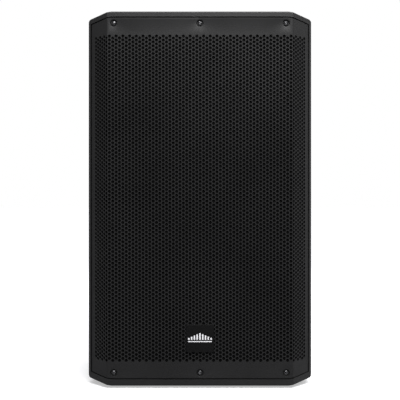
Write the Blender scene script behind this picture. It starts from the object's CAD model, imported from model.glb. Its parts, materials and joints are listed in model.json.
import bpy
import json
import math
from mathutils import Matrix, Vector
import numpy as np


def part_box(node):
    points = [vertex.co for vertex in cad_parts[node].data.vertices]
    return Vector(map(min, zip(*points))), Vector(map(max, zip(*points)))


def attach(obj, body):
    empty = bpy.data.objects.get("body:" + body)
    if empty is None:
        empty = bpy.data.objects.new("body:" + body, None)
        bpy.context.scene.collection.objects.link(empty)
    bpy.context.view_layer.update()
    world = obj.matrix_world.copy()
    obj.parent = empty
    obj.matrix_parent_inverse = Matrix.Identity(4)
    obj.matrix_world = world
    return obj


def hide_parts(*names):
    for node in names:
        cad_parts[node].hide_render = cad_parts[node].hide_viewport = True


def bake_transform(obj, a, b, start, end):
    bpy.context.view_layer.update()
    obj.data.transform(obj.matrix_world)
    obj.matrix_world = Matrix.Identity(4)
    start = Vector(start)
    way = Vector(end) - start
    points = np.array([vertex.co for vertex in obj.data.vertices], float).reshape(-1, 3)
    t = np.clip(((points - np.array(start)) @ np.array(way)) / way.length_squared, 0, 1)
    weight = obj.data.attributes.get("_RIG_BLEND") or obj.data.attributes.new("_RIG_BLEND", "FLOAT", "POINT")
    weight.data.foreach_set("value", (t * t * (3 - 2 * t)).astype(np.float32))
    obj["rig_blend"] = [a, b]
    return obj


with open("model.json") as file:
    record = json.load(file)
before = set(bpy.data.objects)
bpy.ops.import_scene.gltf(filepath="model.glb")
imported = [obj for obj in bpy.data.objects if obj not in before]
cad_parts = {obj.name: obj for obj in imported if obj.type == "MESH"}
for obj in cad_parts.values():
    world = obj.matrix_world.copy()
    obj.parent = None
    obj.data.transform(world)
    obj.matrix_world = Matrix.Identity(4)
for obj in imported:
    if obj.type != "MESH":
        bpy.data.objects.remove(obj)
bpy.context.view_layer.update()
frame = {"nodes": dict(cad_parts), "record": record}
nodes = frame["nodes"]
mm = 0.001


# picking pieces, editing them and putting them in place
def pick(*pieces):
    if bpy.context.object and bpy.context.object.mode != "OBJECT":
        bpy.ops.object.mode_set(mode="OBJECT")
    bpy.ops.object.select_all(action="DESELECT")
    for piece in pieces:
        piece.select_set(True)
    if pieces:
        bpy.context.view_layer.objects.active = pieces[0]


def added(name):
    # the primitive that was just added, under its own name
    piece = bpy.context.object
    piece.name = name
    piece.data.name = name
    return piece


def settle(piece):
    # the object goes to the origin, its place goes into the mesh
    pick(piece)
    bpy.ops.object.transform_apply(location=True, rotation=True, scale=True)
    return piece


def editAll(piece, kind="VERT"):
    pick(piece)
    bpy.ops.object.mode_set(mode="EDIT")
    bpy.ops.mesh.select_mode(type=kind)
    bpy.ops.mesh.select_all(action="SELECT")


def done():
    bpy.ops.object.mode_set(mode="OBJECT")


def editFaces(piece, test):
    # edit mode with only the faces that pass the test selected
    editAll(piece, "FACE")
    bpy.ops.mesh.select_all(action="DESELECT")
    done()
    for face in piece.data.polygons:
        face.select = test(face)
    bpy.ops.object.mode_set(mode="EDIT")


def editEdges(piece, test):
    editAll(piece, "EDGE")
    bpy.ops.mesh.select_all(action="DESELECT")
    done()
    ends = piece.data.vertices
    for edge in piece.data.edges:
        edge.select = test(edge, ends[edge.vertices[0]].co, ends[edge.vertices[1]].co)
    bpy.ops.object.mode_set(mode="EDIT")


def modify(piece, kind, **settings):
    pick(piece)
    modifier = piece.modifiers.new(kind.title(), kind)
    for name, value in settings.items():
        setattr(modifier, name, value)
    bpy.ops.object.modifier_apply(modifier=modifier.name)
    return piece


def joined(name, pieces):
    pick(*pieces)
    if len(pieces) > 1:
        bpy.ops.object.join()
    return added(name)


def copied(piece, shift):
    pick(piece)
    bpy.ops.object.duplicate(linked=False)
    twin = bpy.context.object
    twin.location = Vector(shift)
    return settle(twin)


def smooth(piece, angle=40):
    pick(piece)
    bpy.ops.object.shade_smooth_by_angle(angle=math.radians(angle))
    return piece


def facing(piece, test):
    # turns the whole mesh over if its faces look the wrong way
    if test(piece.data.polygons):
        editAll(piece)
        bpy.ops.mesh.flip_normals()
        done()
    return piece


def turned(name, centre, profile, sides, axis="Y"):
    # a lathe: one ring, pulled along the axis and resized from point to point of (radius, along)
    radius, along = profile[0]
    spin = (math.pi / 2, 0, 0) if axis == "Y" else (0, 0, 0)
    way = Vector((0, 1, 0)) if axis == "Y" else Vector((0, 0, 1))
    centre = Vector(centre)
    start = centre + way * along
    bpy.ops.mesh.primitive_circle_add(vertices=sides, radius=radius, location=start, rotation=spin)
    piece = settle(added(name))
    editAll(piece, "EDGE")
    for nextRadius, nextAlong in profile[1:]:
        bpy.ops.mesh.extrude_edges_move(TRANSFORM_OT_translate={"value": way * (nextAlong - along)})
        size = nextRadius / radius
        scale = (size, 1, size) if axis == "Y" else (size, size, 1)
        bpy.ops.transform.resize(value=scale, center_override=centre + way * nextAlong)
        radius, along = nextRadius, nextAlong
    done()
    return piece


def inMetres(profile):
    return [(radius * mm, along * mm) for radius, along in profile]


def closed(piece):
    # caps a lathe's open ends and turns every face outward
    editAll(piece)
    bpy.ops.mesh.fill_holes(sides=0)
    bpy.ops.mesh.select_all(action="SELECT")
    bpy.ops.mesh.normals_make_consistent(inside=False)
    done()
    return piece


def block(name, low, high):
    # a cube stretched between two corners, for further work
    low, high = Vector(low), Vector(high)
    bpy.ops.mesh.primitive_cube_add(size=1, location=(low + high) / 2)
    piece = added(name)
    piece.scale = high - low
    return settle(piece)


def wear(piece, body, slot, *stands):
    # the slot's finish, the body that it rides on and the plain pieces that it stands for
    piece.data.materials.clear()
    piece.data.materials.append(finishes[slot])
    if stands:
        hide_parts(*stands)
    if body:
        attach(piece, body)
    return piece


# camera, floor and light
studio = {
    "cameraAway": 1.4,
    "cameraHeight": 0.3395,
    "cameraSide": 0.0001,
    "lens": 69.8,
    "filmWidth": 36,
    "skyBack": 1.0,
    "skyFill": 0.12,
    "floorSize": 60,
    "floorDrop": 0.4 * mm,
    "floorTone": 0.7,
    "floorGlow": 0.45,
    "floorThrow": 0.3,
    "floorRough": 0.9,
    "floorShine": 0.1,
    "sunPower": 2.5,
    "sunSpread": math.radians(80),
    "sunTilt": (math.radians(12), math.radians(10), 0),
}
cabinetMiddle = (0, 0, 0.34)
# where each lamp stands, what it points at, its size in metres and its watts
softboxes = {
    "frontBox": ((0.3, -1.4, 1.75), (0, -0.18, 0.5), (1.2, 0.8), 45),
    "sideBoxRight": ((1.5, -0.15, 0.75), cabinetMiddle, (0.5, 1.4), 3),
    "sideBoxLeft": ((-1.5, -0.15, 0.75), cabinetMiddle, (0.5, 1.4), 1.2),
    "backBox": ((0.5, 1.7, 1.3), cabinetMiddle, (1.2, 0.9), 14),
}


def setCamera():
    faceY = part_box("grille")[0].y
    place = (studio["cameraSide"], faceY - studio["cameraAway"], studio["cameraHeight"])
    bpy.ops.object.camera_add(location=place, rotation=(math.pi / 2, 0, 0))
    camera = bpy.context.object
    camera.name = "studioCamera"
    camera.data.lens = studio["lens"]
    camera.data.sensor_width = studio["filmWidth"]
    bpy.context.scene.camera = camera


def softbox(name, place, target, size, watts):
    turn = (Vector(target) - Vector(place)).to_track_quat("-Z", "Y").to_euler()
    bpy.ops.object.light_add(type="AREA", location=place, rotation=turn)
    lamp = bpy.context.object
    lamp.name = name
    lamp.data.shape = "RECTANGLE"
    lamp.data.size, lamp.data.size_y = size
    lamp.data.energy = watts


def whenSeen(tree, unseen, seen):
    # one value for the rays that come from the camera and another for all the rest
    path = tree.nodes.new("ShaderNodeLightPath")
    return ramp(tree, path.outputs["Is Camera Ray"], 0, 1, unseen, seen)


def setSky():
    # a bright sweep to look at, and a softer fill for everything that it lights
    world = bpy.data.worlds.new("studioSky")
    bpy.context.scene.world = world
    world.use_nodes = True
    tree = world.node_tree
    sky = tree.nodes["Background"]
    sky.inputs["Color"].default_value = (1, 1, 1, 1)
    tree.links.new(whenSeen(tree, studio["skyFill"], studio["skyBack"]), sky.inputs["Strength"])


def setFloor():
    # white where it is looked at, dull in what it throws back at the cabinet
    bpy.ops.mesh.primitive_plane_add(size=studio["floorSize"], location=(0, 0, -studio["floorDrop"]))
    floor = settle(added("studioFloor"))
    finish = bpy.data.materials.new("paleFloor")
    finish.use_nodes = True
    tree = finish.node_tree
    shader = tree.nodes["Principled BSDF"]
    shader.inputs["Roughness"].default_value = studio["floorRough"]
    shader.inputs["Specular IOR Level"].default_value = studio["floorShine"]
    shaded(tree, shader, whenSeen(tree, 0, 1), grey(studio["floorThrow"]), grey(studio["floorTone"]))
    shader.inputs["Emission Color"].default_value = (1, 1, 1, 1)
    tree.links.new(whenSeen(tree, 0, studio["floorGlow"]), shader.inputs["Emission Strength"])
    floor.data.materials.append(finish)


def setLamps():
    bpy.ops.object.light_add(type="SUN", rotation=studio["sunTilt"])
    sun = bpy.context.object
    sun.name = "ceilingBounce"
    sun.data.energy = studio["sunPower"]
    sun.data.angle = studio["sunSpread"]
    for name, (place, target, size, watts) in softboxes.items():
        softbox(name, place, target, size, watts)
    bpy.context.scene.view_settings.view_transform = "Standard"


# finishes: first the patterns and mixes that they are made of
def newFinish(name, colour, rough, metal=0.0, specular=0.5):
    finish = bpy.data.materials.new(name)
    finish.use_nodes = True
    tree = finish.node_tree
    shader = tree.nodes["Principled BSDF"]
    shader.inputs["Base Color"].default_value = (*colour, 1)
    shader.inputs["Roughness"].default_value = rough
    shader.inputs["Metallic"].default_value = metal
    shader.inputs["Specular IOR Level"].default_value = specular
    place = tree.nodes.new("ShaderNodeTexCoord")
    return finish, tree, shader, place.outputs["Object"]


def stretch(tree, place, scale):
    # squeezes or pulls the pattern along each axis
    mapping = tree.nodes.new("ShaderNodeMapping")
    mapping.inputs["Scale"].default_value = scale
    tree.links.new(place, mapping.inputs["Vector"])
    return mapping.outputs["Vector"]


def cloud(tree, place, scale, detail=3.0):
    noise = tree.nodes.new("ShaderNodeTexNoise")
    noise.inputs["Scale"].default_value = scale
    noise.inputs["Detail"].default_value = detail
    tree.links.new(place, noise.inputs["Vector"])
    return noise.outputs["Fac"]


def pebble(tree, place, scale):
    cells = tree.nodes.new("ShaderNodeTexVoronoi")
    cells.feature = "SMOOTH_F1"
    cells.inputs["Scale"].default_value = scale
    tree.links.new(place, cells.inputs["Vector"])
    return cells.outputs["Distance"]


def ramp(tree, value, low, high, toLow=0.0, toHigh=1.0):
    level = tree.nodes.new("ShaderNodeMapRange")
    level.inputs["From Min"].default_value = low
    level.inputs["From Max"].default_value = high
    level.inputs["To Min"].default_value = toLow
    level.inputs["To Max"].default_value = toHigh
    tree.links.new(value, level.inputs["Value"])
    return level.outputs["Result"]


def maths(tree, operation, first, second):
    node = tree.nodes.new("ShaderNodeMath")
    node.operation = operation
    for socket, value in zip(node.inputs, (first, second)):
        if isinstance(value, (int, float)):
            socket.default_value = value
        else:
            tree.links.new(value, socket)
    return node.outputs["Value"]


def relief(tree, shader, height, depth, strength=1.0):
    bump = tree.nodes.new("ShaderNodeBump")
    bump.inputs["Strength"].default_value = strength
    bump.inputs["Distance"].default_value = depth
    tree.links.new(height, bump.inputs["Height"])
    tree.links.new(bump.outputs["Normal"], shader.inputs["Normal"])


def colourSocket(sockets, name):
    # a Mix node has one socket of each name for numbers, vectors, colours and turns
    return [socket for socket in sockets if socket.name == name and socket.type == "RGBA"][0]


def shaded(tree, shader, share, first, second):
    # a base colour mixed from two, the first of which may be an earlier mix
    mix = tree.nodes.new("ShaderNodeMix")
    mix.data_type = "RGBA"
    if isinstance(first, tuple):
        colourSocket(mix.inputs, "A").default_value = (*first, 1)
    else:
        tree.links.new(first, colourSocket(mix.inputs, "A"))
    colourSocket(mix.inputs, "B").default_value = (*second, 1)
    tree.links.new(share, mix.inputs[0])
    result = colourSocket(mix.outputs, "Result")
    tree.links.new(result, shader.inputs["Base Color"])
    return result


def gloss(tree, shader, value):
    tree.links.new(value, shader.inputs["Roughness"])


def grey(value):
    return (value, value, value * 1.03)


print("camera and studio")
setCamera()
setSky()
setFloor()
setLamps()


def shellPlastic():
    # moulded black plastic with a fine leather-like pebble, rubbed smoother in places
    finish, tree, shader, place = newFinish("shellPlastic", grey(0.011), 0.5, specular=0.33)
    grain = pebble(tree, place, 620)
    fine = cloud(tree, place, 1500, 2)
    rubbed = cloud(tree, place, 7, 5)
    scuff = ramp(tree, cloud(tree, stretch(tree, place, (1, 1, 6)), 38, 6), 0.62, 0.8)
    dusty = maths(tree, "ADD", maths(tree, "MULTIPLY", scuff, 0.25), ramp(tree, rubbed, 0.35, 0.75))
    shaded(tree, shader, dusty, grey(0.0095), grey(0.0145))
    gloss(tree, shader, ramp(tree, rubbed, 0.3, 0.7, 0.42, 0.56))
    height = maths(tree, "ADD", grain, maths(tree, "MULTIPLY", fine, 0.35))
    relief(tree, shader, height, 0.00022, 0.55)
    return finish


def innerPlastic():
    # plain matt black mouldings inside the cabinet, with faint flow lines
    finish, tree, shader, place = newFinish("innerPlastic", grey(0.017), 0.6)
    flow = cloud(tree, stretch(tree, place, (1, 1, 0.25)), 60, 4)
    shaded(tree, shader, ramp(tree, flow, 0.3, 0.7), grey(0.013), grey(0.022))
    gloss(tree, shader, ramp(tree, flow, 0.3, 0.7, 0.5, 0.68))
    relief(tree, shader, cloud(tree, place, 900, 2), 0.0001, 0.4)
    return finish


def grillePaint():
    # satin powder coat: a low orange peel and a little dust in it
    finish, tree, shader, place = newFinish("grillePaint", grey(0.011), 0.45, specular=0.25)
    peel = cloud(tree, place, 420, 2)
    speck = ramp(tree, cloud(tree, place, 2300, 1), 0.66, 0.74)
    patch = cloud(tree, place, 9, 3)
    tone = shaded(tree, shader, ramp(tree, patch, 0.35, 0.65), grey(0.010), grey(0.0125))
    shaded(tree, shader, maths(tree, "MULTIPLY", speck, 0.5), tone, grey(0.03))
    gloss(tree, shader, ramp(tree, patch, 0.3, 0.7, 0.4, 0.5))
    relief(tree, shader, peel, 0.00008, 0.5)
    return finish


def openFoam():
    # open-cell foam: dark pores between slightly lighter struts
    finish, tree, shader, place = newFinish("openFoam", grey(0.006), 1.0, specular=0.1)
    pores = pebble(tree, place, 950)
    shaded(tree, shader, ramp(tree, pores, 0.2, 0.7), grey(0.001), grey(0.004))
    relief(tree, shader, pores, 0.0006, 0.8)
    return finish


def screwSteel():
    # blackened steel, bright where a driver has turned in it
    finish, tree, shader, place = newFinish("screwSteel", grey(0.1), 0.36, metal=1.0)
    rub = ramp(tree, cloud(tree, place, 520, 4), 0.42, 0.66)
    shaded(tree, shader, rub, (0.045, 0.045, 0.047), (0.3, 0.3, 0.31))
    gloss(tree, shader, ramp(tree, rub, 0, 1, 0.42, 0.26))
    relief(tree, shader, cloud(tree, place, 1800, 2), 0.00004, 0.5)
    return finish


def badgeGloss():
    finish, tree, shader, place = newFinish("badgeGloss", grey(0.004), 0.42, specular=0.12)
    wipe = cloud(tree, stretch(tree, place, (1, 1, 9)), 90, 4)
    shaded(tree, shader, ramp(tree, wipe, 0.3, 0.7), grey(0.003), grey(0.0048))
    gloss(tree, shader, ramp(tree, wipe, 0.3, 0.7, 0.36, 0.5))
    relief(tree, shader, cloud(tree, place, 700, 2), 0.00003, 0.4)
    return finish


def whitePrint():
    finish, tree, shader, place = newFinish("whitePrint", grey(0.8), 0.5)
    ink = cloud(tree, place, 1300, 3)
    shaded(tree, shader, ramp(tree, ink, 0.3, 0.7), grey(0.74), grey(0.86))
    gloss(tree, shader, ramp(tree, ink, 0.3, 0.7, 0.42, 0.55))
    relief(tree, shader, ink, 0.00002, 0.5)
    return finish


def sealRubber():
    finish, tree, shader, place = newFinish("sealRubber", grey(0.012), 0.75, specular=0.35)
    bloom = cloud(tree, place, 45, 5)
    shaded(tree, shader, ramp(tree, bloom, 0.4, 0.75), grey(0.009), grey(0.024))
    gloss(tree, shader, ramp(tree, bloom, 0.3, 0.7, 0.68, 0.85))
    relief(tree, shader, cloud(tree, place, 1100, 3), 0.00008, 0.6)
    return finish


def castPaint():
    # thick black paint over a rough casting
    finish, tree, shader, place = newFinish("castPaint", grey(0.03), 0.5)
    cast = cloud(tree, place, 260, 6)
    shaded(tree, shader, ramp(tree, cast, 0.35, 0.7), grey(0.022), grey(0.04))
    gloss(tree, shader, ramp(tree, cast, 0.3, 0.7, 0.4, 0.6))
    relief(tree, shader, cast, 0.0003, 0.5)
    return finish


def clothEdge():
    # treated cotton: a tight weave seen along the two ways of the sheet
    finish, tree, shader, place = newFinish("clothEdge", grey(0.024), 0.8, specular=0.3)
    warp = tree.nodes.new("ShaderNodeTexWave")
    warp.inputs["Scale"].default_value = 420
    weft = tree.nodes.new("ShaderNodeTexWave")
    weft.inputs["Scale"].default_value = 420
    weft.bands_direction = "Z"
    tree.links.new(place, warp.inputs["Vector"])
    tree.links.new(place, weft.inputs["Vector"])
    weave = maths(tree, "MULTIPLY", warp.outputs["Fac"], weft.outputs["Fac"])
    shaded(tree, shader, weave, (0.014, 0.0135, 0.013), (0.034, 0.032, 0.030))
    relief(tree, shader, weave, 0.00012, 0.7)
    return finish


def conePaper():
    # pressed fibre: felted, with short lighter hairs
    finish, tree, shader, place = newFinish("conePaper", grey(0.03), 0.85, specular=0.25)
    felt = cloud(tree, place, 320, 8)
    hair = ramp(tree, cloud(tree, stretch(tree, place, (1, 0.2, 1)), 1500, 2), 0.6, 0.75)
    tone = shaded(tree, shader, ramp(tree, felt, 0.35, 0.65), (0.02, 0.019, 0.018), (0.042, 0.04, 0.038))
    shaded(tree, shader, maths(tree, "MULTIPLY", hair, 0.4), tone, (0.12, 0.11, 0.10))
    relief(tree, shader, felt, 0.0003, 0.6)
    return finish


def platedSteel():
    # yellow zinc over steel, dulled in clouds
    finish, tree, shader, place = newFinish("platedSteel", (0.5, 0.47, 0.38), 0.35, metal=1.0)
    tarnish = cloud(tree, place, 55, 6)
    shaded(tree, shader, ramp(tree, tarnish, 0.35, 0.7), (0.56, 0.53, 0.44), (0.33, 0.31, 0.27))
    gloss(tree, shader, ramp(tree, tarnish, 0.3, 0.7, 0.28, 0.48))
    relief(tree, shader, cloud(tree, place, 900, 3), 0.00005, 0.5)
    return finish


def ferriteStone():
    finish, tree, shader, place = newFinish("ferriteStone", grey(0.05), 0.6)
    chip = pebble(tree, place, 330)
    shaded(tree, shader, ramp(tree, chip, 0.1, 0.6), grey(0.035), grey(0.075))
    gloss(tree, shader, ramp(tree, chip, 0.1, 0.6, 0.45, 0.7))
    relief(tree, shader, chip, 0.0002, 0.5)
    return finish


def copperWire():
    # enamelled wire wound in close turns along the coil
    finish, tree, shader, place = newFinish("copperWire", (0.66, 0.3, 0.14), 0.28, metal=1.0)
    turns = tree.nodes.new("ShaderNodeTexWave")
    turns.bands_direction = "Y"
    turns.inputs["Scale"].default_value = 900
    tree.links.new(place, turns.inputs["Vector"])
    shaded(tree, shader, turns.outputs["Fac"], (0.4, 0.16, 0.07), (0.74, 0.36, 0.18))
    relief(tree, shader, turns.outputs["Fac"], 0.0001, 0.8)
    return finish


def bareAlloy():
    finish, tree, shader, place = newFinish("bareAlloy", (0.72, 0.72, 0.73), 0.3, metal=1.0)
    drawn = cloud(tree, stretch(tree, place, (1, 0.1, 1)), 700, 4)
    shaded(tree, shader, ramp(tree, drawn, 0.3, 0.7), (0.6, 0.6, 0.61), (0.78, 0.78, 0.79))
    gloss(tree, shader, ramp(tree, drawn, 0.3, 0.7, 0.24, 0.4))
    relief(tree, shader, drawn, 0.00003, 0.4)
    return finish


def blackInsert():
    finish, tree, shader, place = newFinish("blackInsert", grey(0.16), 0.4, metal=1.0)
    oil = cloud(tree, place, 160, 5)
    shaded(tree, shader, ramp(tree, oil, 0.35, 0.7), grey(0.12), grey(0.26))
    gloss(tree, shader, ramp(tree, oil, 0.3, 0.7, 0.32, 0.5))
    relief(tree, shader, cloud(tree, place, 1200, 2), 0.00004, 0.5)
    return finish


def panelPaint():
    # fine texture paint on steel sheet
    finish, tree, shader, place = newFinish("panelPaint", grey(0.026), 0.5)
    texture = cloud(tree, place, 1250, 3)
    patch = cloud(tree, place, 14, 4)
    shaded(tree, shader, ramp(tree, patch, 0.35, 0.65), grey(0.022), grey(0.031))
    gloss(tree, shader, ramp(tree, patch, 0.3, 0.7, 0.42, 0.55))
    relief(tree, shader, texture, 0.00018, 0.6)
    return finish


def anodised():
    # black anodised extrusion, drawn along its fins
    finish, tree, shader, place = newFinish("anodised", grey(0.05), 0.38, metal=0.85)
    lines = cloud(tree, stretch(tree, place, (1, 1, 0.04)), 900, 4)
    shaded(tree, shader, ramp(tree, lines, 0.3, 0.7), grey(0.035), grey(0.075))
    gloss(tree, shader, ramp(tree, lines, 0.3, 0.7, 0.3, 0.46))
    relief(tree, shader, lines, 0.00006, 0.5)
    return finish


def controlPlastic():
    finish, tree, shader, place = newFinish("controlPlastic", grey(0.018), 0.42)
    haze = cloud(tree, place, 120, 4)
    shaded(tree, shader, ramp(tree, haze, 0.35, 0.65), grey(0.014), grey(0.023))
    gloss(tree, shader, ramp(tree, haze, 0.3, 0.7, 0.34, 0.5))
    relief(tree, shader, cloud(tree, place, 1500, 2), 0.00005, 0.5)
    return finish


def knobPlastic():
    # soft-touch plastic, polished by fingers on the high places
    finish, tree, shader, place = newFinish("knobPlastic", grey(0.032), 0.5)
    touch = cloud(tree, place, 210, 4)
    shaded(tree, shader, ramp(tree, touch, 0.35, 0.65), grey(0.025), grey(0.042))
    gloss(tree, shader, ramp(tree, touch, 0.3, 0.7, 0.4, 0.62))
    relief(tree, shader, cloud(tree, place, 1700, 2), 0.00005, 0.5)
    return finish


def greyButton():
    finish, tree, shader, place = newFinish("greyButton", grey(0.2), 0.5)
    touch = cloud(tree, place, 300, 4)
    shaded(tree, shader, ramp(tree, touch, 0.35, 0.65), grey(0.17), grey(0.24))
    gloss(tree, shader, ramp(tree, touch, 0.3, 0.7, 0.42, 0.6))
    relief(tree, shader, cloud(tree, place, 1600, 2), 0.00004, 0.5)
    return finish


def lampLens():
    # clear tinted lenses: green for power on one side, red for the limiter on the other
    finish, tree, shader, place = newFinish("lampLens", (0.1, 0.4, 0.12), 0.16)
    across = tree.nodes.new("ShaderNodeSeparateXYZ")
    tree.links.new(place, across.inputs["Vector"])
    side = ramp(tree, across.outputs["X"], -0.001, 0.001)
    shaded(tree, shader, side, (0.04, 0.36, 0.08), (0.42, 0.03, 0.02))
    gloss(tree, shader, ramp(tree, cloud(tree, place, 900, 2), 0.3, 0.7, 0.12, 0.22))
    relief(tree, shader, pebble(tree, place, 1400), 0.00005, 0.3)
    shader.inputs["Coat Weight"].default_value = 0.6
    return finish


def circuitBoard():
    # green mask over tracks, with bright pads on a grid
    finish, tree, shader, place = newFinish("circuitBoard", (0.012, 0.08, 0.03), 0.3)
    tracks = tree.nodes.new("ShaderNodeTexVoronoi")
    tracks.distance = "MANHATTAN"
    tracks.inputs["Scale"].default_value = 190
    tree.links.new(place, tracks.inputs["Vector"])
    copper = ramp(tree, tracks.outputs["Distance"], 0.42, 0.47)
    pads = ramp(tree, tracks.outputs["Distance"], 0.1, 0.07)
    tone = shaded(tree, shader, copper, (0.010, 0.075, 0.028), (0.022, 0.13, 0.05))
    shaded(tree, shader, pads, tone, (0.55, 0.53, 0.48))
    relief(tree, shader, copper, 0.00005, 0.6)
    return finish


def windingTape():
    # yellow tape over a toroid winding, lapped turn over turn
    finish, tree, shader, place = newFinish("windingTape", (0.5, 0.4, 0.08), 0.4)
    laps = cloud(tree, stretch(tree, place, (1, 4, 1)), 130, 3)
    shaded(tree, shader, ramp(tree, laps, 0.35, 0.65), (0.42, 0.33, 0.06), (0.58, 0.48, 0.12))
    gloss(tree, shader, ramp(tree, laps, 0.3, 0.7, 0.28, 0.5))
    relief(tree, shader, laps, 0.0003, 0.6)
    return finish


def canSleeve():
    finish, tree, shader, place = newFinish("canSleeve", (0.012, 0.018, 0.05), 0.3)
    shrink = cloud(tree, stretch(tree, place, (1, 0.3, 1)), 220, 4)
    shaded(tree, shader, ramp(tree, shrink, 0.35, 0.65), (0.010, 0.015, 0.042), (0.018, 0.026, 0.07))
    gloss(tree, shader, ramp(tree, shrink, 0.3, 0.7, 0.24, 0.4))
    relief(tree, shader, shrink, 0.0001, 0.4)
    return finish


def leadJacket():
    finish, tree, shader, place = newFinish("leadJacket", grey(0.014), 0.5)
    skin = cloud(tree, place, 260, 4)
    shaded(tree, shader, ramp(tree, skin, 0.35, 0.65), grey(0.011), grey(0.019))
    gloss(tree, shader, ramp(tree, skin, 0.3, 0.7, 0.42, 0.6))
    relief(tree, shader, skin, 0.0001, 0.5)
    return finish


def looseWadding():
    # polyester wadding: long pale fibres in drifts
    finish, tree, shader, place = newFinish("looseWadding", grey(0.6), 0.95, specular=0.2)
    drift = cloud(tree, stretch(tree, place, (1, 0.35, 1)), 160, 10)
    shaded(tree, shader, ramp(tree, drift, 0.3, 0.7), (0.46, 0.46, 0.44), (0.72, 0.72, 0.70))
    relief(tree, shader, drift, 0.0018, 0.8)
    return finish


print("finishes")
finishes = {
    "shell_plastic": shellPlastic(),
    "inner_plastic": innerPlastic(),
    "grille_steel": grillePaint(),
    "grille_foam": openFoam(),
    "black_screw": screwSteel(),
    "badge_plastic": badgeGloss(),
    "badge_print": whitePrint(),
    "seal_rubber": sealRubber(),
    "cast_frame": castPaint(),
    "cloth_edge": clothEdge(),
    "cone_paper": conePaper(),
    "motor_steel": platedSteel(),
    "ferrite": ferriteStone(),
    "coil_copper": copperWire(),
    "light_alloy": bareAlloy(),
    "insert_steel": blackInsert(),
    "panel_paint": panelPaint(),
    "heatsink_alloy": anodised(),
    "control_plastic": controlPlastic(),
    "knob_plastic": knobPlastic(),
    "button_plastic": greyButton(),
    "light_lens": lampLens(),
    "circuit_board": circuitBoard(),
    "coil_wrap": windingTape(),
    "can_sleeve": canSleeve(),
    "lead_jacket": leadJacket(),
    "wadding": looseWadding(),
}
for part in frame["record"]["subparts"]:
    piece = nodes[part["node"]]
    coat = finishes[part["material_slot"]]
    if not piece.material_slots:
        piece.data.materials.append(coat)
    for place in piece.material_slots:
        place.material = coat


# grille: staggered holes punched in a flat sheet, which is dished for its screws
# and then folded back at the wings
grille = {
    "hole": 5.75 * mm,
    "pitch": 7.01 * mm,
    "holeSides": 12,
    "columnsEachSide": 33,
    "rows": 84,
    "lowestHole": 32.5 * mm,  # above the sheet's lower edge
    "patternShift": 0.4 * mm,  # the punching isn't quite centred on the folds
    "thick": 1.2 * mm,
    "foldAt": 168.3 * mm,
    "foldRadius": 3 * mm,
    "foldSteps": 4,
    "foldAngle": math.radians(45),
    "shoulderAt": 160 * mm,
    "shoulderAngle": math.radians(9),
    "screwAcross": 155.8 * mm,
    "screwInset": 10 * mm,
    # radius and depth in millimetres
    "dish": [(7.1, 0), (6.65, -0.12), (6.35, -0.5), (5.75, -2.9), (5.4, -3.25), (2.5, -3.3)],
    "dishSides": 32,
    "mergeWithin": 0.02 * mm,
    "flatWithin": 0.001 * mm,
    "smoothAngle": 35,
}
sheetLow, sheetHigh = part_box("grille")
faceY = sheetLow.y
foldTangent = grille["foldRadius"] * math.tan(grille["foldAngle"] / 2)
foldStart = grille["foldAt"] - foldTangent
foldArc = grille["foldRadius"] * grille["foldAngle"]
wingRun = (sheetHigh.x - grille["foldAt"]) / math.cos(grille["foldAngle"]) - foldTangent
sheetEnd = foldStart + foldArc + wingRun
columnStep = grille["pitch"] * math.cos(math.pi / 6)
firstRow = sheetLow.z + grille["lowestHole"]


def folded(along, height, out):
    # from the flat sheet (along, height, outwards) to its place on the cabinet
    side = math.copysign(1, along)
    run = abs(along)
    radius = grille["foldRadius"]
    turn = min(max((run - foldStart) / radius, 0), grille["foldAngle"])
    rest = max(run - foldStart - foldArc, 0)
    across = min(run, foldStart) + radius * math.sin(turn) + rest * math.cos(turn)
    back = faceY + radius * (1 - math.cos(turn)) + rest * math.sin(turn)
    return Vector((side * (across + out * math.sin(turn)), back - out * math.cos(turn), height))


def foldBack(piece):
    for point in piece.data.vertices:
        point.co = folded(*point.co)
    piece.data.update()
    return piece


def shoulderDrop(across):
    return max(across - grille["shoulderAt"], 0) * math.tan(grille["shoulderAngle"])


def screwPlaces():
    # left, middle and right along the lower edge, then along the upper one
    for height in (sheetLow.z + grille["screwInset"], sheetHigh.z - grille["screwInset"]):
        for side in (-1, 0, 1):
            yield side * grille["screwAcross"], height


def repeated(piece, count, step):
    return modify(piece, "ARRAY", count=count, use_relative_offset=False,
                  use_constant_offset=True, constant_offset_displace=step)


def punchedField():
    # one six-sided cell round one hole, then columns of them, every other column half a pitch up
    pitch, half = grille["pitch"], grille["columnsEachSide"]
    cellRadius = pitch / math.sqrt(3)
    fields = []
    for first, count, lift in ((half - 1, half, 0), (half, half + 1, pitch / 2)):
        bpy.ops.mesh.primitive_circle_add(vertices=6, radius=cellRadius, rotation=(0, 0, math.pi / 6))
        cell = settle(added("holeCell"))
        editAll(cell, "EDGE")
        bpy.ops.mesh.primitive_circle_add(vertices=grille["holeSides"], radius=grille["hole"] / 2)
        bpy.ops.mesh.select_all(action="SELECT")
        bpy.ops.mesh.bridge_edge_loops()
        done()
        cell.location = (grille["patternShift"] - first * columnStep, firstRow + lift, 0)
        settle(cell)
        repeated(cell, grille["rows"], (0, pitch, 0))
        repeated(cell, count, (2 * columnStep, 0, 0))
        fields.append(cell)
    return fields


def cutAcross(across):
    # an upright cut through whatever is selected
    bpy.ops.mesh.bisect(plane_co=(across, 0, 0), plane_no=(1, 0, 0))
    done()


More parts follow.
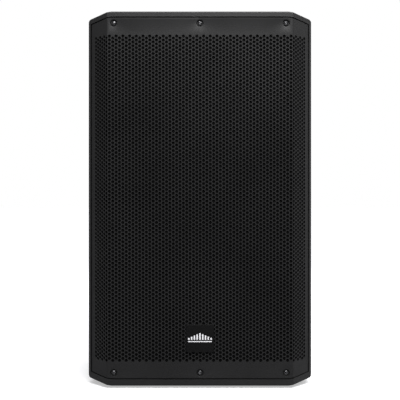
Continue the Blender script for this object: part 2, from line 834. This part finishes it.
def sheetOutline():
    low, high = sheetLow.z, sheetHigh.z
    middle = (low + high) / 2
    bpy.ops.mesh.primitive_plane_add(size=1, location=(0, middle, 0))
    outline = added("sheetOutline")
    outline.scale = (2 * sheetEnd, high - low, 1)
    settle(outline)
    for across in (grille["shoulderAt"], foldStart):
        for side in (-1, 1):
            editAll(outline)
            cutAcross(side * across)
    for point in outline.data.vertices:
        drop = shoulderDrop(abs(folded(point.co.x, 0, 0).x))
        point.co.y += drop if point.co.y < middle else -drop
    editAll(outline, "FACE")
    bpy.ops.mesh.dissolve_faces()
    bpy.ops.mesh.delete(type="ONLY_FACE")
    done()
    return outline


def screwDishes():
    dish = turned("dish", (0, 0, 0), inMetres(grille["dish"]), grille["dishSides"], axis="Z")
    dishes = [copied(dish, (across, height, 0)) for across, height in screwPlaces()]
    bpy.data.objects.remove(dish)
    return dishes


def holeColumn(along, height):
    # the column of the hole whose cell this point lies in
    pitch = grille["pitch"]
    along -= grille["patternShift"]
    gaps = []
    for column in (math.floor(along / columnStep), math.floor(along / columnStep) + 1):
        rise = height - firstRow - (pitch / 2 if column % 2 else 0)
        gaps.append((math.hypot(along - column * columnStep, rise - round(rise / pitch) * pitch), column))
    return min(gaps)[1]


def perforatedGrille():
    sheet = joined("sheet", punchedField() + [sheetOutline()] + screwDishes())
    editAll(sheet)
    bpy.ops.mesh.remove_doubles(threshold=grille["mergeWithin"])
    done()

    # the field reaches from a pitch under its lowest hole to a pitch over its highest
    fieldLow = firstRow - grille["pitch"]
    fieldHigh = firstRow + grille["pitch"] * (grille["rows"] + 0.5)
    touching = {}
    for face in sheet.data.polygons:
        for key in face.edge_keys:
            touching[key] = touching.get(key, 0) + 1

    def onBorder(edge, start, end):
        # an edge with no face yet, or with one: the field's or a dish's rim, but never a hole's
        count = touching.get(edge.key, 0)
        inBorder = start.y < fieldLow or start.y > fieldHigh
        noHole = inBorder or (start - end).length > grille["hole"] / 2
        return count == 0 or (count == 1 and start.z > -grille["flatWithin"] and noHole)

    # the plain border is filled between the outline, the field's ragged edge and the dishes
    editEdges(sheet, onBorder)
    bpy.ops.mesh.fill(use_beauty=True)
    bpy.ops.mesh.select_all(action="SELECT")
    bpy.ops.mesh.normals_make_consistent(inside=False)
    done()
    facing(sheet, lambda faces: sum(face.normal.z * face.area for face in faces) < 0)

    # cuts where the sheet folds, so that the fold is round
    for step in range(grille["foldSteps"] + 1):
        for side in (-1, 1):
            editAll(sheet)
            cutAcross(side * (foldStart + foldArc * step / grille["foldSteps"]))

    # two halves, parted along the zigzag between two columns of holes
    seam = grille["patternShift"] - columnStep / 2
    editFaces(sheet, lambda face: face.center.y < fieldLow or face.center.y > fieldHigh)
    cutAcross(seam)

    def onLeft(face):
        inField = fieldLow < face.center.y < fieldHigh
        return holeColumn(face.center.x, face.center.y) < 0 if inField else face.center.x < seam

    editFaces(sheet, onLeft)
    bpy.ops.mesh.separate(type="SELECTED")
    done()
    halves = [piece for piece in bpy.context.selected_objects if piece.type == "MESH"]
    halves.sort(key=lambda piece: piece.bound_box[0][0])
    for piece, name in zip(halves, ("grille_left_half", "grille_right_half")):
        piece.name = name
        piece.data.name = name
        modify(piece, "SOLIDIFY", thickness=grille["thick"], offset=-1, use_even_offset=False)
        foldBack(piece)
        smooth(piece, grille["smoothAngle"])
        wear(piece, "cabinet", "grille_steel", "grille")
        print(name, len(piece.data.polygons), "faces")


print("grille")
perforatedGrille()


# foam behind the grille
foam = {
    "behind": 0.3 * mm,
    "thick": 6 * mm,
    "edgeInset": 12 * mm,
    "cell": 3.5 * mm,
    "roundEdge": 1.6 * mm,
    "roundSteps": 3,
    "roundAbove": math.radians(60),
    "lump": 0.35 * mm,
    "lumpSize": 6 * mm,
    "smoothAngle": 50,
}


def lumpy(piece, name, size, depth):
    # clouds press into the surface and never stand out of it
    texture = bpy.data.textures.new(name, "CLOUDS")
    texture.noise_scale = size
    return modify(piece, "DISPLACE", texture=texture, strength=2 * depth, mid_level=1.0)


def grilleFoam():
    low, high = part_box("grille_foam")
    width, tall = 2 * (sheetEnd - foam["edgeInset"]), high.z - low.z
    columns, rows = round(width / foam["cell"]), round(tall / foam["cell"])
    bpy.ops.mesh.primitive_grid_add(x_subdivisions=columns, y_subdivisions=rows, size=1,
                                    location=(0, (low.z + high.z) / 2, 0))
    piece = added("grille_foam_pad")
    piece.scale = (width, tall, 1)
    settle(piece)
    modify(piece, "SOLIDIFY", thickness=foam["thick"] - 2 * foam["lump"], offset=-1)
    modify(piece, "BEVEL", width=foam["roundEdge"], segments=foam["roundSteps"], limit_method="ANGLE",
           angle_limit=foam["roundAbove"])
    lumpy(piece, "foamLumps", foam["lumpSize"], foam["lump"])
    for point in piece.data.vertices:
        point.co.z -= grille["thick"] + foam["behind"]
    foldBack(piece)
    smooth(piece, foam["smoothAngle"])
    wear(piece, "cabinet", "grille_foam", "grille_foam")


print("foam")
grilleFoam()


# badge plate with eased edges
badge = {
    "border": 1.6 * mm,
    "easing": 0.7 * mm,
    "steps": 3,
}


def looksForward(face):
    return face.normal.y < -0.5


def badgePlate():
    low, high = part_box("badge_plate")
    plate = block("badge_plate_eased", low, high)
    editFaces(plate, looksForward)
    bpy.ops.mesh.inset(thickness=badge["border"], depth=0)
    done()
    modify(plate, "BEVEL", width=badge["easing"], segments=badge["steps"], limit_method="ANGLE")
    smooth(plate)
    wear(plate, "cabinet", "badge_plastic", "badge_plate")


print("badge")
badgePlate()


# domed screw heads with a round drive, one in each dish of the grille
screwHead = {
    # radius and depth in millimetres, from the drive over the dome to the end of the shank
    "profile": [(1.5, 1.8), (1.8, 0.3), (2.1, 0), (2.9, 0.25), (3.6, 0.8),
                (4, 1.5), (4, 2.6), (1.9, 2.6), (1.9, 14)],
    "sides": 28,
    "smoothAngle": 35,
}


def grilleScrews():
    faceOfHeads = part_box("grille_screws")[0].y
    screw = turned("screwHead", (0, faceOfHeads, 0), inMetres(screwHead["profile"]), screwHead["sides"])
    closed(screw)
    heads = [copied(screw, (across, 0, height)) for across, height in screwPlaces()]
    bpy.data.objects.remove(screw)
    heads = joined("grille_screw_heads", heads)
    smooth(heads, screwHead["smoothAngle"])
    wear(heads, "cabinet", "black_screw", "grille_screws")


print("grille screws")
grilleScrews()


# fluted control knobs, each with a white pointer let into its face
knob = {
    # radius and height over the panel in millimetres: the stem, the skirt, then the grip
    "profile": [(3, -9), (3, 0.7), (8.5, 0.7), (8.5, 2.6), (8.2, 3.2),
                (7.1, 3.6), (6.6, 10.2), (6.1, 10.9), (5.4, 11)],
    "sides": 48,
    "gripFrom": 4 * mm,
    "gripSlope": 0.2,
    "fluteEvery": 4,
    "fluteDepth": 0.45 * mm,
    "fluteEdge": 0.12 * mm,
    "pointerWide": 1.2 * mm,
    "pointerProud": 0.35 * mm,
    "pointerFrom": 1.8 * mm,
    "pointerTo": 6.2 * mm,
    "pointerEdge": 0.15 * mm,
}
knobBodies = {
    "knob_input_one": "input_one_knob",
    "knob_master": "master_knob",
    "knob_input_two": "input_two_knob",
}
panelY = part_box("amp_panel")[1].y


def flutedKnob(node, body):
    low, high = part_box(node)
    centre = Vector(((low.x + high.x) / 2, panelY, (low.z + high.z) / 2))
    piece = closed(turned(node + "_fluted", centre, inMetres(knob["profile"]), knob["sides"]))
    step = 2 * math.pi / knob["sides"]

    def onFlute(face):
        out = face.center - centre
        number = int(math.atan2(out.z, out.x) // step)
        onGrip = out.y > knob["gripFrom"] and abs(face.normal.y) < knob["gripSlope"]
        return onGrip and number % knob["fluteEvery"] == 0

    editFaces(piece, onFlute)
    bpy.ops.mesh.inset(thickness=knob["fluteEdge"], depth=-knob["fluteDepth"], use_individual=True)
    done()
    smooth(piece)
    wear(piece, body, "knob_plastic", node)


def knobPointer(node, body):
    low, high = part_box(node)
    middle = (low + high) / 2
    half = knob["pointerWide"] / 2
    pointer = block(node + "_pointer",
                    (middle.x - half, high.y - 2 * knob["pointerProud"], middle.z + knob["pointerFrom"]),
                    (middle.x + half, high.y, middle.z + knob["pointerTo"]))
    modify(pointer, "BEVEL", width=knob["pointerEdge"], segments=2)
    smooth(pointer)
    wear(pointer, body, "badge_print")


print("knobs")
for knobNode, knobBody in knobBodies.items():
    flutedKnob(knobNode, knobBody)
    knobPointer(knobNode, knobBody)


# white ink on the amplifier panel: a scale round each knob and a frame round each group
ink = {
    "proud": 0.12 * mm,
    "softEdge": 0.03 * mm,
    "line": 0.5 * mm,
    "ticks": 11,
    "sweep": math.radians(300),
    "tickFrom": 10.4 * mm,
    "tickTo": 12.6 * mm,
    # left, right, low and high in millimetres
    "frames": [(-84, -32, 296, 412), (32, 84, 296, 412), (-26, 26, 296, 412), (-92, 17, 90, 152)],
    # across and height in millimetres
    "arrows": [(-58, 405), (58, 405), (0, 405)],
    "arrow": 2.4 * mm,
}


def inkScale(node):
    low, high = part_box(node)
    centre = (low + high) / 2
    reach = (ink["tickFrom"] + ink["tickTo"]) / 2
    marks = []
    for step in range(ink["ticks"]):
        turn = ink["sweep"] * (step / (ink["ticks"] - 1) - 0.5)
        across, up = reach * math.sin(turn), reach * math.cos(turn)
        place = (centre.x + across, panelY + ink["proud"] / 2, centre.z + up)
        bpy.ops.mesh.primitive_cube_add(size=1, location=place, rotation=(0, turn, 0))
        tick = added("tick")
        tick.scale = (ink["line"], ink["proud"], ink["tickTo"] - ink["tickFrom"])
        marks.append(settle(tick))
    return marks


def inkFrame(left, right, low, high):
    bpy.ops.mesh.primitive_plane_add(size=1, location=((left + right) / 2, panelY, (low + high) / 2),
                                     rotation=(-math.pi / 2, 0, 0))
    outline = added("outline")
    outline.scale = (right - left, high - low, 1)
    settle(outline)
    editAll(outline, "FACE")
    bpy.ops.mesh.inset(thickness=ink["line"])
    bpy.ops.mesh.delete(type="FACE")
    done()
    return modify(outline, "SOLIDIFY", thickness=ink["proud"], offset=1)


def inkArrow(across, height):
    bpy.ops.mesh.primitive_cylinder_add(vertices=3, radius=ink["arrow"], depth=ink["proud"],
                                        location=(across, panelY + ink["proud"] / 2, height),
                                        rotation=(math.pi / 2, 0, math.pi))
    return settle(added("arrow"))


def panelInk():
    marks = []
    for node in knobBodies:
        marks += inkScale(node)
    marks += [inkFrame(*(value * mm for value in sides)) for sides in ink["frames"]]
    marks += [inkArrow(across * mm, height * mm) for across, height in ink["arrows"]]
    printed = joined("panel_ink", marks)
    modify(printed, "BEVEL", width=ink["softEdge"], segments=1, limit_method="ANGLE")
    wear(printed, "cabinet", "badge_print")


print("panel ink")
panelInk()


# woofer edge and spider: they stretch between the frame and the moving cone
def ringBlend(piece, axisZ, outer, inner):
    # the share of the cone's movement falls to nothing at the frame, by distance from the axis
    share = piece.data.attributes["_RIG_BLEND"]
    for point, value in zip(piece.data.vertices, share.data):
        radius = math.hypot(point.co.x, point.co.z - axisZ)
        part = min(max((outer - radius) / (outer - inner), 0), 1)
        value.value = part * part * (3 - 2 * part)


def looksBack(faces):
    return sum(face.normal.y * face.area for face in faces) > 0


wooferRoll = {
    "centre": 165 * mm,
    "radius": 7.4 * mm,
    "behindRoll": 8 * mm,
    "outerGap": 0.3 * mm,
    "innerLip": 3 * mm,
    "lipStep": 0.1 * mm,
    "stretch": 8 * mm,  # each side of the roll's centre
    "steps": 14,
    "sides": 128,
    "thick": 0.9 * mm,
}


def wooferEdge():
    low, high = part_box("woofer_surround")
    axis = (0, 0, (low.z + high.z) / 2)
    outer = (high.x - low.x) / 2
    flat = low.y + wooferRoll["behindRoll"]
    rollCentre, rollRadius = wooferRoll["centre"], wooferRoll["radius"]
    profile = [(outer - wooferRoll["outerGap"], flat), (rollCentre + rollRadius, flat)]
    for step in range(1, wooferRoll["steps"]):
        turn = math.pi * step / wooferRoll["steps"]
        profile.append((rollCentre + rollRadius * math.cos(turn), flat - rollRadius * math.sin(turn)))
    inside = rollCentre - rollRadius
    profile += [(inside, flat), (inside - wooferRoll["innerLip"], flat + wooferRoll["lipStep"])]
    edge = turned("woofer_edge_roll", axis, profile, wooferRoll["sides"])
    facing(edge, looksBack)
    modify(edge, "SOLIDIFY", thickness=wooferRoll["thick"], offset=-1)
    smooth(edge)
    wear(edge, None, "cloth_edge", "woofer_surround")
    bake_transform(edge, "cabinet", "woofer_drive", start=(0, flat, axis[2]), end=(0, flat - rollRadius, axis[2]))
    ringBlend(edge, axis[2], rollCentre + wooferRoll["stretch"], rollCentre - wooferRoll["stretch"])


spider = {
    "inner": 39 * mm,
    "lip": 9 * mm,
    "outerGap": 0.3 * mm,
    "waves": 6,
    "stepsPerWave": 6,
    "fold": 1.5 * mm,
    "sides": 128,
    "thick": 0.6 * mm,
}


def wooferSpider():
    low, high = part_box("woofer_spider")
    axis = (0, 0, (low.z + high.z) / 2)
    outer, inner = (high.x - low.x) / 2, spider["inner"]
    start = outer - spider["lip"]
    middle = (low.y + high.y) / 2
    count = spider["waves"] * spider["stepsPerWave"]
    profile = [(outer - spider["outerGap"], middle)]
    for step in range(count + 1):
        wave = math.sin(2 * math.pi * step / spider["stepsPerWave"])
        profile.append((start + (inner - start) * step / count, middle + spider["fold"] / 2 * wave))
    cloth = turned("woofer_spider_cloth", axis, profile, spider["sides"])
    facing(cloth, looksBack)
    modify(cloth, "SOLIDIFY", thickness=spider["thick"], offset=0)
    smooth(cloth)
    wear(cloth, None, "cloth_edge", "woofer_spider")
    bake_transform(cloth, "cabinet", "woofer_drive", start=(0, low.y, axis[2]), end=(0, high.y, axis[2]))
    ringBlend(cloth, axis[2], start, inner)


print("suspension")
wooferEdge()
wooferSpider()


# wadding on the cabinet's side walls
wadding = {
    "from": 176.7 * mm,  # off the cabinet's middle
    "cuts": 8,
    "puff": 2.5 * mm,
    "driftSize": 30 * mm,
    "smoothAngle": 80,
}


def sideWadding():
    low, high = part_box("side_wadding")
    pads = []
    for side in (-1, 1):
        pad = block("pad", (wadding["from"], low.y, low.z), high)
        editAll(pad)
        bpy.ops.mesh.subdivide(number_cuts=wadding["cuts"])
        done()
        modify(pad, "SUBSURF", levels=2, render_levels=2)
        lumpy(pad, "waddingDrift", wadding["driftSize"], wadding["puff"])
        if side < 0:
            pad.scale = (-1, 1, 1)
            settle(pad)
        facing(pad, lambda faces: sum(face.normal.x * face.area * face.center.x for face in faces) < 0)
        pads.append(pad)
    both = joined("side_wadding_pads", pads)
    smooth(both, wadding["smoothAngle"])
    wear(both, "cabinet", "wadding", "side_wadding")


print("wadding")
sideWadding()

print("done")
